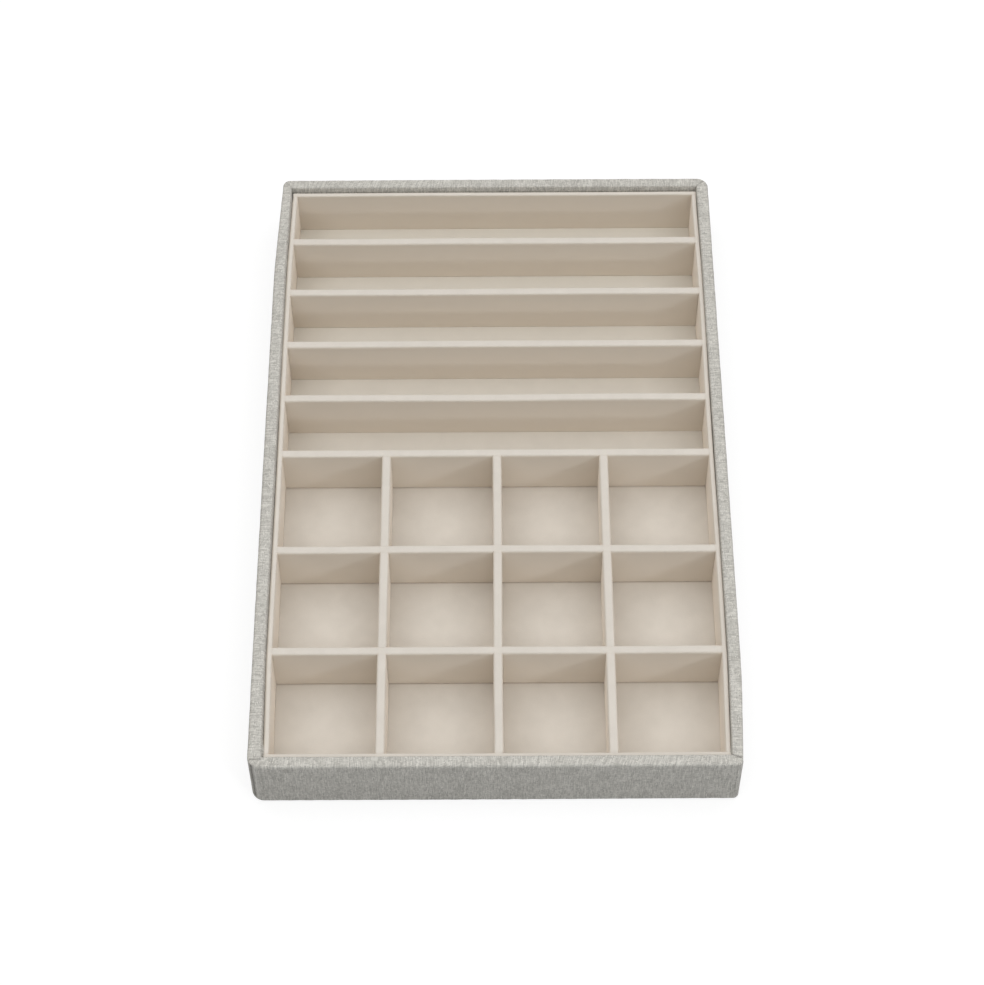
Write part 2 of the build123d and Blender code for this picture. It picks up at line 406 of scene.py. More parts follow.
# the tone is a share of the pile's noise plus a share of the nap's; painted shade mixes in on upright faces
# and at creases, and painted light on the slot floors
def makeVelvet():
    s = velvetCloth
    material, tree, shader = newMaterial("beigeVelvet")
    pile = useGroup(tree, fibres, Fine=s["pileScale"], Mottle=s["napScale"])
    nap = mathStep(tree, "MULTIPLY", pile["Patch"], s["napShare"])
    tone = mathStep(tree, "MULTIPLY_ADD", pile["Grain"], s["pileShare"], nap)
    colour = colourMix(tree, tone, linearColour(*s["dark"]), linearColour(*s["light"]))
    # painted shade: upright faces take the warmer, darker tone
    uprightShade = rescale(tree, tone, 0.0, 1.0, *s["uprightShadeRange"])
    uprightShade = mathStep(tree, "MULTIPLY", attributeStep(tree, "upright"), uprightShade)
    colour = colourMix(tree, uprightShade, colour, linearColour(*s["upright"]))
    crease = attributeStep(tree, "crease")
    # painted light: a negative crease lightens the slot floors
    paintedLight = mathStep(tree, "MULTIPLY", crease, -1.0, clamp=True)
    colour = colourMix(tree, paintedLight, colour, linearColour(*s["paintedLightColour"]))
    # painted shade: the crease attribute darkens towards the crease colour
    shade = mathStep(tree, "MULTIPLY", crease, s["creasePaintedShade"], clamp=True)
    feed(tree, shader.inputs["Base Color"], colourMix(tree, shade, colour, linearColour(*s["creaseShadeColour"])))
    feed(tree, shader.inputs["Roughness"], rescale(tree, pile["Patch"], 0.0, 1.0, *s["roughness"]))
    shader.inputs["Specular IOR Level"].default_value = s["specular"]
    shader.inputs["Sheen Weight"].default_value = s["sheen"]
    shader.inputs["Sheen Roughness"].default_value = s["sheenRoughness"]
    shader.inputs["Sheen Tint"].default_value = linearColour(*s["sheenTint"])
    bumpInto(tree, shader, pile["Height"], s["bump"] * mm, s["bumpStrength"])
    return material


# plain fibrous stock: light, dark, the scale of its fibres, the scale of its mottle, and its bump in mm
plainStock = {
    "greyFelt": ((176, 171, 162), (142, 137, 128), 1300.0, 60.0, 0.12),
    "plainFibreboard": ((190, 160, 122), (158, 130, 96), 1700.0, 140.0, 0.04),
    "creamCard": ((208, 199, 185), (190, 181, 166), 2100.0, 200.0, 0.03),
    "grainShare": 0.6,
    "mottleShare": 0.4,
    "roughness": (0.95, 0.85),
    "specular": 0.2,
    "bumpStrength": 0.5,
}


# the tone is a share of the fibres' noise plus a share of the mottle
def makeStock(name):
    s = plainStock
    light, dark, fine, mottle, bump = s[name]
    material, tree, shader = newMaterial(name)
    stock = useGroup(tree, fibres, Fine=fine, Mottle=mottle)
    patch = mathStep(tree, "MULTIPLY", stock["Patch"], s["mottleShare"])
    tone = mathStep(tree, "MULTIPLY_ADD", stock["Grain"], s["grainShare"], patch)
    feed(tree, shader.inputs["Base Color"], colourMix(tree, tone, linearColour(*dark), linearColour(*light)))
    feed(tree, shader.inputs["Roughness"], rescale(tree, stock["Grain"], 0.0, 1.0, *s["roughness"]))
    shader.inputs["Specular IOR Level"].default_value = s["specular"]
    bumpInto(tree, shader, stock["Height"], bump * mm, s["bumpStrength"])
    return material


linen = makeLinen()
velvet = makeVelvet()
felt = makeStock("greyFelt")
fibreboard = makeStock("plainFibreboard")
card = makeStock("creamCard")
print("materials made")

# the long walls of the insert, and the case's cloth beside them, come in a little towards the corners
cornerDraw = {
    "atCorner": {"frontLeft": 1.0, "frontRight": 1.4, "backLeft": 1.2, "backRight": 0.5},  # mm
    "run": 56.0,  # from the insert's ends
    "soft": 5.0,  # half the length over which a wall bends
    "flat": 3.0,  # how far in from the insert's outside all moves alike
    "fade": 14.0,  # and over what width that fades
}


# how far a place lies past a bend: nothing before it, the distance after it, and a parabola in between
def pastBend(beyond, soft):
    return np.where(beyond > soft, beyond, np.clip(beyond + soft, 0, None) ** 2 / (4 * soft))


# from none to all over a width, level at both ends
def smoothShare(value):
    share = np.clip(value, 0, 1)
    return share ** 2 * (3 - 2 * share)


# how far a place moves along X: each corner's draw in proportion to the distance past the bend, near its side
def drawnIn(x, y):
    s = cornerDraw
    low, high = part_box("insert_floor_board")
    moved = np.zeros(np.broadcast(x, y).shape)
    for name, draw in s["atCorner"].items():
        side = 1 if "Right" in name else -1
        past = y - low.y if "front" in name else high.y - y
        fromSide = high.x - x if side > 0 else x - low.x
        near = smoothShare(1 - (fromSide - s["flat"] * mm) / (s["fade"] * mm))
        moved = moved - side * draw / s["run"] * pastBend(s["run"] * mm - past, s["soft"] * mm) * near
    return moved


# the case's linen: one strip round the walls, over the rim, down the inside and turned in under the base
caseLinen = {
    "cornerRadius": 4.2,
    "looseRadius": 6.4,  # back right corner
    "seamRadius": 6.5,  # front left corner
    "tightRadius": 2.8,  # front right corner
    "rimOuter": 1.5,
    "rimInner": 1.1,
    "foot": 0.9,
    "turnIn": 16.0,
    "step": 2.7,  # between points along a wall
    "endSteps": (0, 0.3, 0.6, 0.9, 1.3, 1.7, 2.2, 2.8, 3.5, 4.3, 5.3, 6.5, 8),  # places of the first points
    "cornerPoints": 13,
    "seamPoints": 49,  # round the corner with the seam
    "profilePoints": {"turnIn": 9, "outside": 27, "rim": 7, "inside": 16, "round": 7},
    "thickness": 0.9,  # share of the real cloth's
    "puckers": 0.05,  # the height of the cloth's slow unevenness
    "puckerLength": 9.0,
    "foldWidth": 0.9,
    "foldDepth": {"frontRight": 0.4, "backRight": 0.16, "backLeft": 0.12, "frontLeft": 0.3},
    "foldShade": 2.4,  # painted shade along a fold, over its depth
    "pinch": {  # mm in at the corner, and the run from it to the bend
        "frontRight": (2.3, 52.0),
        "backLeft": (2.5, 65.0),
        "frontLeft": (0.2, 60.0),
    },
    "pinchSoft": 11.0,  # half the length over which the side bends
    "pinchSpread": 65.0,  # how far along the end walls the cloth follows
    "bow": {"front": 0.1, "right": 0.05, "back": 0.1, "left": 0.15},
    "insideSwell": {"front": 0.05, "right": 0.08, "back": 0.3, "left": 0.4},  # towards the insert
    "cornerSwell": {  # in each side near the front: mm in, place and half width
        "left": (1.3, 4.5, 5.0),
        "right": (0.9, 2.5, 3.0),
    },
    "swellEnds": 4.0,  # over what length a swell grows from the ends of a wall
    "swellFoot": 3.0,  # and from the case's floor
    "swellTop": 1.1,  # how far below the rim the swell starts
    "swellRise": 2.5,  # and over what height it grows
    "foldSlant": 3.6,  # where the front right fold meets the outer edge, from the corner
    "foldAcross": 4.8,  # where the front left fold crosses the rim, from the front
    "seamTurn": 45.0,  # degrees round the front left corner from the front
    "seamWidth": 2.0,
    "seamDepth": 0.22,
    # painted shade in the seam's groove
    "seamShade": 0.95,
    "lipPlace": 2.3,  # the raised edge of the cloth, towards the front from the seam
    "lipWidth": 1.5,
    "lipHeight": 0.15,
    # painted highlight on the raised edge beside the seam
    "lipPaintedHighlight": 1.0,
    "seamFoot": 2.4,  # cloth left whole below the seam
    "seamTop": 0.4,  # and above it
}


# the cloth's cross-section as inset from the outer face, height, the outward direction and the length so
# far: straight stretches joined by quarter circles, from under the base to the foot of the inside
def linenProfile():
    s = caseLinen
    low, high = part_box("linen_wrap")
    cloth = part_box("left_board")[0].x - low.x
    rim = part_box("left_board")[1].x - low.x + cloth
    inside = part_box("base_board")[1].z
    foot, outer, inner = s["foot"] * mm, s["rimOuter"] * mm, s["rimInner"] * mm
    count = s["profilePoints"]
    quarter = np.linspace(0, np.pi / 2, count["round"])
    bottom, top = low.z, high.z

    def straight(start, end, facing, points):
        share = np.linspace(0, 1, points)[:, None]
        line = np.array(start) * (1 - share) + np.array(end) * share
        return np.hstack([line, np.tile(facing, (points, 1))])

    def arc(centre, radius, turn):
        facing = np.stack([np.sin(turn), np.cos(turn)], 1)  # turn is from straight up, inwards
        return np.hstack([np.array(centre) + radius * facing, facing])

    parts = [
        straight((s["turnIn"] * mm, bottom), (foot, bottom), (0, -1), count["turnIn"]),
        arc((foot, bottom + foot), foot, np.pi + quarter),
        straight((0, bottom + foot), (0, top - outer), (-1, 0), count["outside"]),
        arc((outer, top - outer), outer, -quarter[::-1]),
        straight((outer, top), (rim - inner, top), (0, 1), count["rim"]),
        arc((rim - inner, top - inner), inner, quarter),
        straight((rim, top - inner), (rim, inside), (1, 0), count["inside"]),
    ]
    profile = np.vstack([parts[0]] + [part[1:] for part in parts[1:]])
    run = np.concatenate([[0], np.cumsum(np.hypot(*np.diff(profile[:, :2], axis=0).T))])
    innermost = np.where(profile[:, 3] < 0, s["turnIn"] * mm, rim)
    follow = np.clip(1 - profile[:, 0] / innermost, 0, 1)
    overRim = (profile[:, 3] > 0) | (profile[:, 2] > 0.5)  # facing up or inwards
    inner = overRim * np.clip((profile[:, 0] - outer) / (rim - inner - outer), 0, 1)
    return profile, run, follow, inner, cloth


# how far the pinched corners draw the cloth in along X: in proportion to the distance past each bend, less
# inside the rim and less along the end walls
def pinchedIn(x, y, inset, follow):
    s = caseLinen
    low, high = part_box("linen_wrap")
    moved = np.zeros(np.broadcast(x, y).shape)
    fromFront, fromBack = y - low.y, high.y - y
    spread = s["pinchSpread"] * mm
    for name, values in s["pinch"].items():
        side = 1 if "Right" in name else -1
        past = fromFront if "front" in name else fromBack
        reach, bend = (value * mm for value in values)
        near = smoothShare(1 - (high.x - spread - side * x - inset) / spread)
        moved = moved - side * reach / bend * pastBend(bend - past, s["pinchSoft"] * mm) * follow * near
    return moved


# how far the linen moves along X in all: the pinch, and the draw of the corners on the cloth's inside
def bentIn(plan, inset, follow, inner):
    x, y = plan[..., 0], plan[..., 1]
    return pinchedIn(x, y, inset, follow) + drawnIn(x, y) * inner


# one wall and the corner after it: a point lies at a distance along the wall and an inset from its face;
# the corner turns a quarter circle whose radius shrinks with the inset, down to the mitre point
def makeCaseLinen():
    s = caseLinen
    low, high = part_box("linen_wrap")
    profile, run, follow, inner, cloth = linenProfile()
    rim = profile[-1, 0]
    inset, height = profile[:, 0][None, :], profile[:, 1][None, :]
    facingIn, facingUp = profile[:, 2][None, :], profile[:, 3][None, :]
    radii = ("cornerRadius", "looseRadius", "tightRadius", "seamRadius")
    soft, loose, tight, seamed = (s[name] * mm for name in radii)
    width, length = high.x - low.x, high.y - low.y
    walls = [  # start corner, direction, inward direction, length, radius and fold at the end
        ("front", (low.x, low.y), (1, 0), (0, 1), width, seamed, tight, "frontLeft", "frontRight"),
        ("right", (high.x, low.y), (0, 1), (-1, 0), length, tight, loose, "frontRight", "backRight"),
        ("back", (high.x, high.y), (-1, 0), (0, -1), width, loose, soft, "backRight", "backLeft"),
        ("left", (low.x, high.y), (0, -1), (1, 0), length, soft, seamed, "backLeft", "frontLeft"),
    ]
    pastEdge = 0.4 * s["rimOuter"] * mm  # the folds start there
    onRim = np.clip(facingUp, 0, 1) * (inset > pastEdge)
    swell = smoothShare((high.z - height - s["swellTop"] * mm) / (s["swellRise"] * mm))
    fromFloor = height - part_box("base_board")[1].z
    swell = (facingIn > 0) * swell * np.clip(fromFloor / (s["swellFoot"] * mm), 0, 1)
    foldWidth = s["foldWidth"] * mm
    grids, start = [], 0.0
    around = 2 * (width + length) - (soft + loose + tight + seamed) * (2 - np.pi / 2)
    for seed, (name, corner, ahead, inward, size, before, after, foldA, foldB) in enumerate(walls, start=11):
        corner, ahead, inward = np.array(corner), np.array(ahead), np.array(inward)
        share = gradedSteps(0.0, size, s["step"] * mm, s["endSteps"])
        share = (share / size)[:, None]
        first, last = np.maximum(before, inset), size - np.maximum(after, inset)
        along = first * (1 - share) + last * share
        slant = s["foldSlant"] * mm * (name == "right")
        foldLine = slant + inset * (1 - slant / rim)
        foldShare = creaseShare(along - foldLine, foldWidth) * s["foldDepth"][foldA]
        if name in ("right", "back"):
            foldShare = foldShare + creaseShare(size - along - inset, foldWidth) * s["foldDepth"][foldB]
        puckers = ripples(along, run[None, :], s["puckerLength"] * mm, seed) * s["puckers"] * mm
        out = puckers - onRim * foldShare * mm
        middle = np.sin(np.pi * along / size) ** 2
        out = (out + s["bow"][name] * mm * middle * follow) * (facingUp > -0.6)  # not under the base
        fromEnds = np.clip((np.minimum(along, size - along) - rim) / (s["swellEnds"] * mm), 0, 1)
        out = out + s["insideSwell"][name] * mm * swell * fromEnds
        if name in s["cornerSwell"]:
            reach, place, spread = (value * mm for value in s["cornerSwell"][name])
            past = (along if name == "right" else size - along) - rim
            hump = smoothShare(1 - np.abs(past - place) / spread)
            out = out + reach * swell * hump * np.clip(past / mm, 0, 1)
        plan = corner + along[..., None] * ahead + inset[..., None] * inward
        plan = plan + (out * facingIn)[..., None] * inward
        plan[..., 0] += bentIn(plan, inset, follow, inner)
        points = np.concatenate([plan, (height + out * facingUp)[..., None]], -1)
        uv = np.stack([start + along, np.broadcast_to(run[None, :], along.shape)], -1)
        # painted shade along the folds on the rim, in the crease attribute
        grids.append({"points": points, "uv": uv, "crease": onRim * foldShare * s["foldShade"]})

        isSeam = foldB == "frontLeft"
        turn = np.linspace(0, np.pi / 2, s["seamPoints" if isSeam else "cornerPoints"])[:, None]
        reach = np.maximum(after - inset, 0)
        towards = -inward * np.cos(turn)[..., None] + ahead * np.sin(turn)[..., None]
        centre = corner + ahead * (size - after) + inward * after
        mitre = corner + ahead * (size - inset[..., None]) + inward * inset[..., None]
        plan = np.where((inset < after)[..., None], centre + reach[..., None] * towards, mitre)
        lineOff = reach * np.sin(turn - np.pi / 4)
        if isSeam:
            lineOff = reach * np.sin(turn) - after + s["foldAcross"] * mm
        fold = creaseShare(lineOff, foldWidth) * s["foldDepth"][foldB] * onRim * (name != "front")
        # painted shade along the corner's fold
        shade = fold * s["foldShade"]
        out = -fold * mm
        u = start + size - after + after * turn
        if isSeam:
            seamAt = np.pi / 2 - np.radians(s["seamTurn"])
            off = (turn - seamAt) * np.maximum(reach, after * 0.4)  # across the seam, also near the mitre
            upright = np.clip((height - low.z - s["seamFoot"] * mm) / mm, 0, 1)
            upright = upright * np.clip((high.z - s["seamTop"] * mm - height) / mm, 0, 1)
            upright = upright * (inset < after * 0.5)
            groove = creaseShare(off, s["seamWidth"] * mm) * upright
            lip = creaseShare(off - s["lipPlace"] * mm, s["lipWidth"] * mm) * upright
            out = out + (lip * s["lipHeight"] - groove * s["seamDepth"]) * mm
            # painted shade in the seam's groove, and a painted highlight on the raised lip beside it
            shade = shade + groove * s["seamShade"] - lip * s["lipPaintedHighlight"]
            u = np.where(turn > seamAt, u - around, u)
        plan = plan + (out * facingIn)[..., None] * -towards
        plan[..., 0] += bentIn(plan, inset, follow, inner)
        points = np.concatenate([plan, (height + out * facingUp)[..., None]], -1)
        uv = np.stack(np.broadcast_arrays(u, run[None, :]), -1)
        solid = np.broadcast_to(inset[:, :-1] < after - 5 * weld, (len(turn) - 1, len(run) - 1))
        shade = np.broadcast_to(shade, (len(turn), len(run)))
        grids.append({"points": points, "uv": uv, "crease": shade, "keep": solid})
        start += size - 2 * after + after * np.pi / 2
    piece = meshFromGrids("caseLinen", grids, linen, s["thickness"] * cloth)
    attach(piece, "case")
    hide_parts("linen_wrap")


makeCaseLinen()
print("case linen made")

# velvet sleeves: each is folded over a card core and butts against its neighbours
sleeve = {
    "wallTop": 0.9,  # rounding of the insert's own rim
    "dividerTop": 1.2,
    "pull": 0.06,  # how far the cloth draws in at a joint and at its foot
    "pullWidth": 1.0,
    "crossShade": 0.06,  # painted shade at a crossing, at an end, and at the foot of each kind of slab
    "endShade": 0.2,
    "footShade": {"cells": 1.0, "slots": 0.0, "sides": 0.12},
    "tongue": 0.85,  # how far the top of a slab runs on into its neighbour's rounding
    "outerSwell": {"front": 0.05, "back": 0.25, "left": 0.38, "right": 0.03},
    "swellTop": 0.4,  # how far below its top the outside starts to swell
    "swellRise": 1.2,
    "cornerPull": 0.15,  # how far the outside draws in at the insert's four corners
    "cornerWidth": 1.8,
    "bow": 0.12,  # sideways unevenness of a slab
    "bowLength": 150.0,
    "sag": 0.07,  # unevenness of its top
    "sagLength": 90.0,
    "settle": 8.0,  # over what length from its ends a slab becomes uneven
    "swellEnds": 3.0,  # and swells
    "footPlaces": (0, 0.12, 0.3, 0.6, 1.1, 1.9),  # mm of the profile's points above the foot
    "shoulderPlaces": (1.6, 1.0, 0.6, 0.3, 0),  # and below the shoulder
    "thickness": 0.9,  # share of the real cloth's
    "step": 4.0,
}


# a slab's cross-section: up one side, over the rounded top and down the other, as the offset sideways, the
# height, the outward direction and the length so far
def sleeveProfile(thick, low, high, radius, lap):
    shoulder = high - radius
    lower = low + np.array(sleeve["footPlaces"]) * mm
    upper = shoulder - np.array(sleeve["shoulderPlaces"]) * mm
    belowLap = np.linspace(low + 3.0 * mm, lap, 5)  # the lap is where crossing dividers meet
    aboveLap = np.linspace(lap, shoulder - 2.6 * mm, 5)[1:]
    walls = np.concatenate([lower, belowLap, aboveLap, upper])
    quarter = np.linspace(0, np.pi / 2, 7)
    half = thick / 2
    up = np.stack([-half + 0 * walls, walls, -1 + 0 * walls, 0 * walls], 1)
    left = np.stack([-half + radius - radius * np.cos(quarter), high - radius + radius * np.sin(quarter),
                     -np.cos(quarter), np.sin(quarter)], 1)
    right = left[::-1] * [-1, 1, -1, 1]
    down = up[::-1] * [-1, 1, -1, 1]
    parts = np.vstack([up, left[1:], right, down[1:]])
    keep = np.concatenate([[True], np.hypot(*np.diff(parts[:, :2], axis=0).T) > weld / 2])
    parts = parts[keep]
    run = np.concatenate([[0], np.cumsum(np.hypot(*np.diff(parts[:, :2], axis=0).T))])
    return parts, run


# a core's thickness, read from the front wall where a long wall bends and its box is wider than it is thick
def coreThickness(node):
    bent = node.startswith(("insert_left", "insert_right"))
    low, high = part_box("insert_front_wall" if bent else node.replace("_velvet", ""))
    return min(high.x - low.x, high.y - low.y)


# a sleeve's thickness and its middle, where the long walls keep to their outside before they bend
def slabAcross(node, alongX):
    low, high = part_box(node)
    first, last = (low.y, high.y) if alongX else (low.x, high.x)
    frontLow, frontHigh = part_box("insert_front_wall_velvet")
    thick = frontHigh.y - frontLow.y
    if node.startswith("insert_left"):
        last = first + thick
    if node.startswith("insert_right"):
        first = last - thick
    return last - first, (first + last) / 2


# a sleeve's two ends before the corners are drawn in
def slabEnds(node, alongX):
    low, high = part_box(node)
    if alongX:
        low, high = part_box("floor_lining" if node.startswith("row") else "insert_floor_board")
        return low.x, high.x
    return low.y, high.y


# a sleeve along X or Y: its cross-section carried along the slab, drawn in by the crease at each joint and
# at its foot; faces that a half-lap joint cuts away are left out, apart from a tongue at the very top that
# runs on into the neighbour's rounding
def makeSleeve(node, radius, seed, joints=(), cutAbove=False, foot="sides", tongues=True, swell=(0, 0)):
    s = sleeve
    low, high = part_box(node)
    alongX = high.x - low.x > high.y - low.y
    start, end = slabEnds(node, alongX)
    thick, middle = slabAcross(node, alongX)
    lap = (low.z + high.z) / 2
    tongue = s["tongue"] * mm
    extra = [start - tongue, end + tongue] if tongues else []
    breaks = sorted([start, end] + [place for joint in joints for place in joint])
    inner = [near + tongue for near, _ in joints] + [far - tongue for _, far in joints] if cutAbove else []
    along = stepsThrough(sorted(breaks + extra + inner), s["step"] * mm)[:, None]
    parts, run = sleeveProfile(thick, low.z, high.z, radius * mm, lap)
    side, height, facingSide, facingUp = (parts[:, k][None, :] for k in range(4))
    pullWidth = s["pullWidth"] * mm
    atCross = sum(creaseShare(along - place, pullWidth) for place in breaks[1:-1])
    atEnd = sum(creaseShare(along - place, pullWidth) for place in (start, end))
    atFoot = creaseShare(height - low.z, pullWidth) * np.abs(facingSide)
    out = -np.clip((atCross + atEnd) * np.abs(facingSide) + atFoot, 0, 1) * s["pull"] * mm
    outside = (swell[0] > 0) * (facingSide < 0) + (swell[1] > 0) * (facingSide > 0)
    if not tongues:
        atCorner = sum(creaseShare(along - place, s["cornerWidth"] * mm) for place in (start, end))
        out = out - atCorner * outside * s["cornerPull"] * mm
    # painted shade at crossings, ends and feet, carried by the crease attribute
    crease = np.clip(atCross * s["crossShade"] + atEnd * s["endShade"] + atFoot * s["footShade"][foot], 0, 1)
    rise = np.clip((height - low.z) / (high.z - low.z), 0, 1)
    room = s["settle"] * mm
    settle = np.clip((along - start) / room, 0, 1) * np.clip((end - along) / room, 0, 1)
    bow = ripples(along, 0 * along, s["bowLength"] * mm, seed) * s["bow"] * mm * settle * rise
    top = ripples(along, 0 * along, s["sagLength"] * mm, seed + 500)
    top = top * s["sag"] * mm * settle * np.clip(facingUp, 0, 1)
    puff = smoothShare((high.z - height - s["swellTop"] * mm) / (s["swellRise"] * mm))
    puff = puff * np.clip(rise * 8, 0, 1) * max(swell) * outside * mm
    room = s["swellEnds"] * mm
    puff = puff * np.clip((along - start) / room, 0, 1) * np.clip((end - along) / room, 0, 1)
    across = middle + side + (out + puff) * facingSide + bow
    level = height + out * facingUp + top
    flat = np.broadcast_to(along, across.shape)
    points = np.stack([flat, across, level] if alongX else [across, flat, level], -1)
    points[..., 0] += drawnIn(points[..., 0], points[..., 1])
    uv = np.stack([flat, np.broadcast_to(run[None, :], flat.shape)], -1)
    atAlong = (along[1:] + along[:-1]) / 2
    atHeight = (height[:, 1:] + height[:, :-1]) / 2
    atTop = atHeight > high.z - radius * mm
    keep = ((atAlong > start) & (atAlong < end)) | atTop
    for near, far in joints:
        cut = (atAlong > near) & (atAlong < far)
        if cutAbove:
            inMiddle = (atAlong > near + tongue) & (atAlong < far - tongue)
            cut = (cut & (atHeight > lap) & ~atTop) | (inMiddle & atTop)
        else:
            cut = cut & (atHeight < lap)
        keep &= ~cut
    name = "velvet_" + node.replace("_velvet", "")
    # the upright attribute marks the faces that take the painted side shade
    grid = {"points": points, "uv": uv, "crease": crease, "keep": keep, "flip": not alongX,
            "upright": np.abs(facingSide) ** 2}
    piece = meshFromGrids(name, [grid], velvet, s["thickness"] * (thick - coreThickness(node)) / 2)
    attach(piece, "insert")
    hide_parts(node)


# the velvet nodes of the dividers of one kind, in order
def dividerNodes(kind):
    count = sum(name.startswith(kind) and name.endswith("velvet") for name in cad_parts)
    return [f"{kind}_{number}_velvet" for number in range(1, count + 1)]


rowNodes = dividerNodes("row_divider")
columnNodes = dividerNodes("column_divider")
columnLow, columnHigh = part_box(columnNodes[0])
crossedRows = [
    node for node in rowNodes if columnLow.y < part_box(node)[0].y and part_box(node)[1].y < columnHigh.y
]


def makeInsertVelvet():
    s = sleeve
    for seed, side in enumerate(("front", "back", "left", "right"), start=21):
        puff = s["outerSwell"][side]
        swell = (puff, 0) if side in ("front", "left") else (0, puff)
        foot = "slots" if side == "back" else "sides"
        makeSleeve(f"insert_{side}_wall_velvet", s["wallTop"], seed, foot=foot,
                   tongues=side in ("left", "right"), swell=swell)
    for seed, node in enumerate(rowNodes, start=31):
        joints = [(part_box(c)[0].x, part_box(c)[1].x) for c in columnNodes] if node in crossedRows else []
        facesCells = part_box(node)[0].y < columnHigh.y + mm
        makeSleeve(node, s["dividerTop"], seed, joints, foot="cells" if facesCells else "slots")
    for seed, node in enumerate(columnNodes, start=51):
        joints = [(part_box(r)[0].y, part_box(r)[1].y) for r in crossedRows]
        makeSleeve(node, s["dividerTop"], seed, joints, cutAbove=True)


makeInsertVelvet()
print("velvet sleeves made:", 4 + len(rowNodes) + len(columnNodes))

# flat cloths: the velvet floor of the compartments and the felt on the underside
flatCloth = {
    "sink": 0.1,  # how far the floor cloth is pressed down beside a divider
    "sinkWidth": 1.3,
    "cellShade": 0.95,  # painted shade beside a divider in the cells, in the slots, and at a side
    "slotShade": 0.0,
    "slotPaintedLight": (0.17, 0.6),  # painted light on the slot floors, from the front slot to the back one
    "sideShade": 0.12,
    "billow": 0.06,
    "billowLength": 26.0,
    "thickness": 0.6,  # share of the real cloth's
    "step": 3.0,
}


# a level sheet: a grid over its box, pressed down beside the given lines and rippled in between
def makeFlatCloth(name, node, material, body, facing, linesX, linesY, linesEnd, seed):
    s = flatCloth
    low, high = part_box(node)
    x = stepsThrough(sorted({low.x, high.x, *linesX}), s["step"] * mm)[:, None]
    y = stepsThrough(sorted({low.y, high.y, *linesY}), s["step"] * mm)[None, :]
    width = s["sinkWidth"] * mm
    sides = sum(creaseShare(x - place, width) for place in (low.x, high.x))
    sides = sides + sum(creaseShare(x - place, width) for place in linesX) * (y < linesEnd)
    ends = sum(creaseShare(y - place, width) for place in sorted({low.y, high.y, *linesY}))
    crease = np.clip(sides + ends, 0, 1)
    # painted shade beside the dividers and at the sides
    endShade = np.where(y < linesEnd, s["cellShade"], s["slotShade"])
    shade = np.clip(sides * s["sideShade"] + ends * endShade, 0, 1)
    # painted light on the slot floors, growing towards the back, as a negative crease
    if linesX:
        back = (y - linesEnd) / (high.y - linesEnd)
        front, rear = s["slotPaintedLight"]
        shade = shade - (back > 0) * (front + (rear - front) * back)
    billow = ripples(x, y, s["billowLength"] * mm, seed) * s["billow"] * mm - s["billow"] * mm
    face = high.z if facing > 0 else low.z
    lift = np.minimum(billow * (1 - crease) - crease * s["sink"] * mm, 0)
    z = face + facing * lift
    points = np.stack(np.broadcast_arrays(x, y, z), -1)
    if body == "insert":
        points[..., 0] += drawnIn(points[..., 0], points[..., 1])
    grid = {"points": points, "uv": points[..., :2], "crease": shade, "flip": facing < 0}
    piece = meshFromGrids(name, [grid], material, s["thickness"] * (high.z - low.z))
    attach(piece, body)
    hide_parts(node)


def makeFlatCloths():
    columnsX = [value for c in columnNodes for value in (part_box(c)[0].x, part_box(c)[1].x)]
    rowsY = [value for r in rowNodes for value in (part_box(r)[0].y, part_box(r)[1].y)]
    makeFlatCloth("velvet_floor", "floor_lining", velvet, "insert", 1, columnsX, rowsY, columnHigh.y, 71)
    makeFlatCloth("feltCover", "underside_cover", felt, "case", -1, [], [], 0.0, 72)


makeFlatCloths()
print("flat cloths made")


# the boards and card cores keep their shapes and take fibrous finishes
def finishBoards():
    replaced = ("linen_wrap", "underside_cover", "floor_lining")  # besides the sleeves
    for name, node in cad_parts.items():
        if name.endswith("_velvet") or name in replaced:
            continue
        isCase = name.endswith("_board") and not name.startswith("insert")
        for place in node.material_slots:
            place.material = fibreboard if isCase else card


finishBoards()
print("boards finished")

# a pale floor under a large lamp, and a small lamp at the front right that draws the shadows in the cells
studio = {
    "floorColour": 0.48,  # as the tray sees it
    "floorGlow": 0.76,  # what the camera sees of the floor besides its lit colour
    "floorLit": 0.3,
    "floorReach": 3.0,  # m from the middle
    "floorDrop": 0.1,  # mm below the felt, so that the two don't meet
    "ambient": 0.19,
    "aim": (0.0, 0.0, 0.02),
    "overheadPower": 31.4,
    "overheadSize": 2.8,
    "overheadPlace": (0.0, 0.0, 1.3),
    "frontPower": 3.9,
    "frontSize": 0.2,
    "frontTowards": (1.0, -1.3, 0.7),  # from the tray to the lamp
    "frontDistance": 1.8,
    "frontTint": (0.94, 1.0, 1.07),
}


# one where a ray comes from the camera, a reflection or glass, and nothing elsewhere
def seenDirectly(tree):
    path = tree.nodes.new("ShaderNodeLightPath").outputs
    seen = mathStep(tree, "ADD", path["Is Camera Ray"], path["Is Glossy Ray"])
    return mathStep(tree, "ADD", seen, path["Is Transmission Ray"], clamp=True)


def addLamp(name, place, size, power, tint=(1, 1, 1)):
    data = bpy.data.lights.new(name, "AREA")
    data.color = tint
    data.shape = "SQUARE"
    data.size = size
    data.energy = power
    lamp = bpy.data.objects.new(name, data)
    bpy.context.collection.objects.link(lamp)
    lamp.location = place
    lamp.rotation_euler = (Vector(studio["aim"]) - Vector(place)).to_track_quat("-Z", "Y").to_euler()


